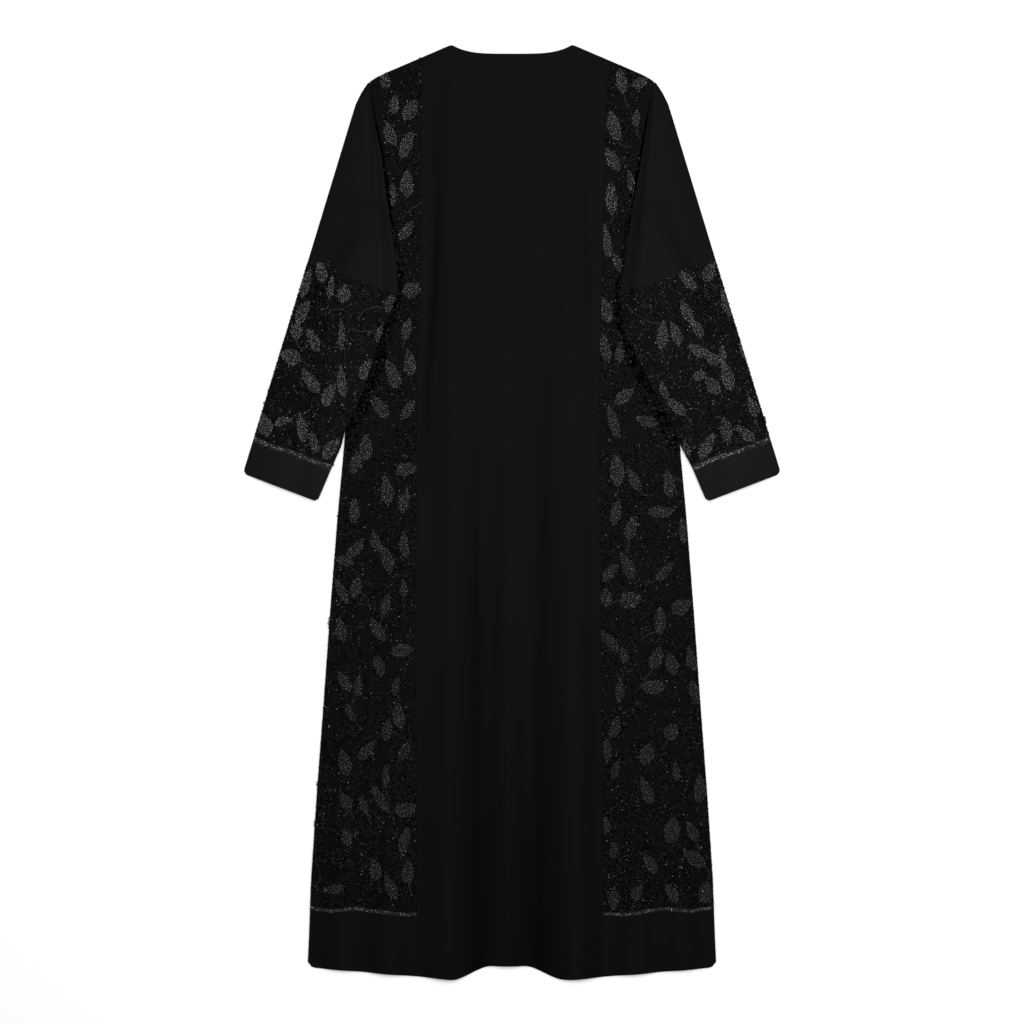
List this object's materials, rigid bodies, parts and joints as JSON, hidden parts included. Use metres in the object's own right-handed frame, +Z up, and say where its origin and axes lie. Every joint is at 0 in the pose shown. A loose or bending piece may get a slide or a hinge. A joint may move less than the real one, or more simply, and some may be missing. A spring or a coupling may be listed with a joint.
{
  "type": "abaya cloak",
  "caption": "Long open-front black abaya laid flat with its back up: plain centre back, beaded leaf side backs and lower sleeves, plain cuffs and hem bands.",
  "frame": {"origin": "on the surface that the cloak lies on, below the middle of its outline", "axes": "+Y to the neck, +X to the wearer's right, +Z up, out of the cloak's back"},
  "size_m": [0.8118, 1.42, 0.0137],
  "materials": {
    "black_crepe": "matt black crepe",
    "beaded_net": "black net over crepe, with leaves of small silver-grey beads and black beads between them",
    "bead_braid": "braid of silver-grey beads"
  },
  "bodies": {
    "root": {"back_centre": "black_crepe", "back_side_left": "beaded_net", "back_side_right": "beaded_net", "hem_trim_left": "bead_braid", "hem_trim_right": "bead_braid", "hem_band_left": "black_crepe", "hem_band_right": "black_crepe", "front_left": "black_crepe", "front_right": "black_crepe", "sleeve_upper_left": "black_crepe", "sleeve_upper_right": "black_crepe", "sleeve_lower_left": "beaded_net", "sleeve_lower_right": "beaded_net", "cuff_trim_left": "bead_braid", "cuff_trim_right": "bead_braid", "cuff_left": "black_crepe", "cuff_right": "black_crepe"}
  },
  "joints": []
}
